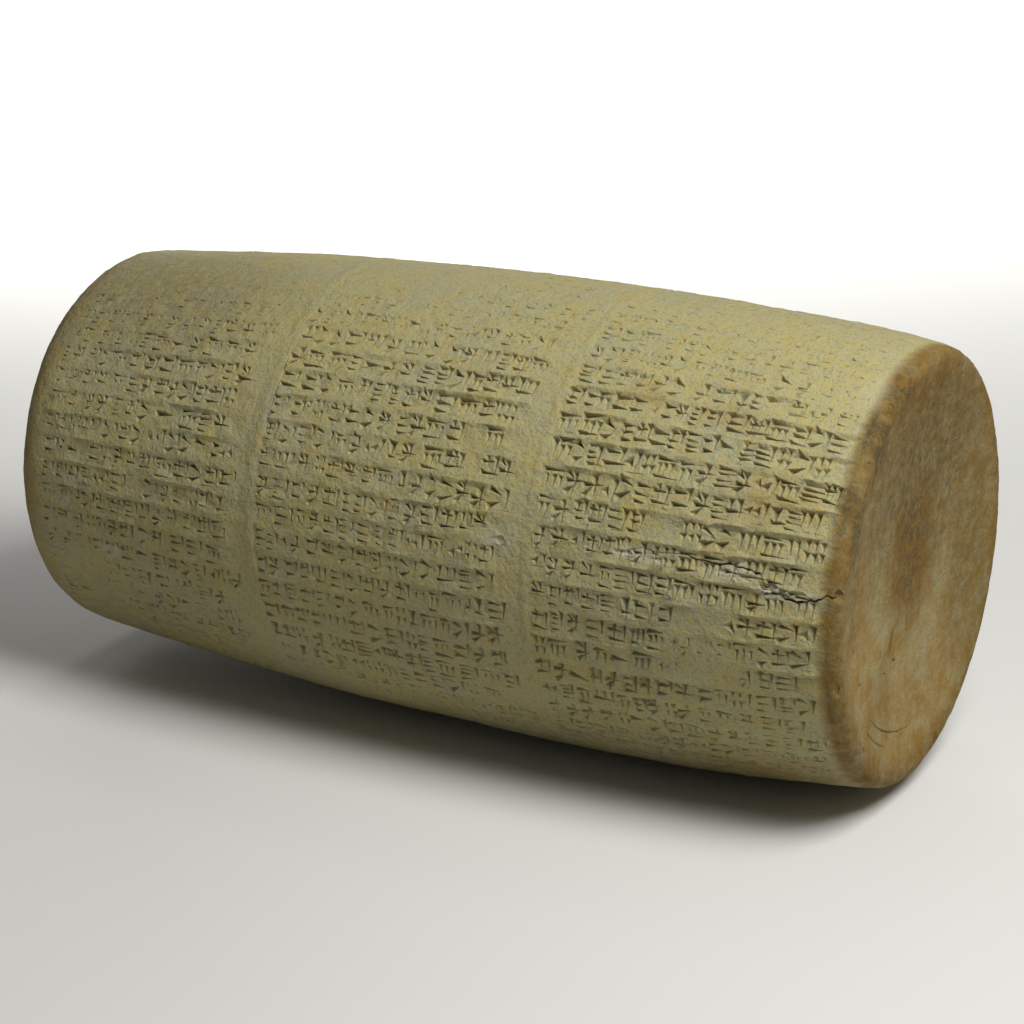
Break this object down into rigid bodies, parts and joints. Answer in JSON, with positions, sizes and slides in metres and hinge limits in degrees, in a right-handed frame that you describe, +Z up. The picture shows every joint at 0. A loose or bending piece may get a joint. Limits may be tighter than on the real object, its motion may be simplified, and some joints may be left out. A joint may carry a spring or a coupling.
{
  "type": "inscribed clay cylinder",
  "caption": "Barrel-shaped cylinder of fired clay with dished ends, covered all round with rows of shallow wedge strokes in columns; lies on its side.",
  "frame": {"origin": "on the worn flat underneath, below the middle of the length", "axes": "+X along the barrel to its sharper-rimmed near end, +Z up, -Y towards the side with the crack"},
  "size_m": [0.221, 0.11, 0.1095],
  "materials": {
    "fired_clay": "matt unglazed fired clay, buff with an orange-brown rim"
  },
  "bodies": {
    "root": {"clay_cylinder": "fired_clay"}
  },
  "joints": []
}
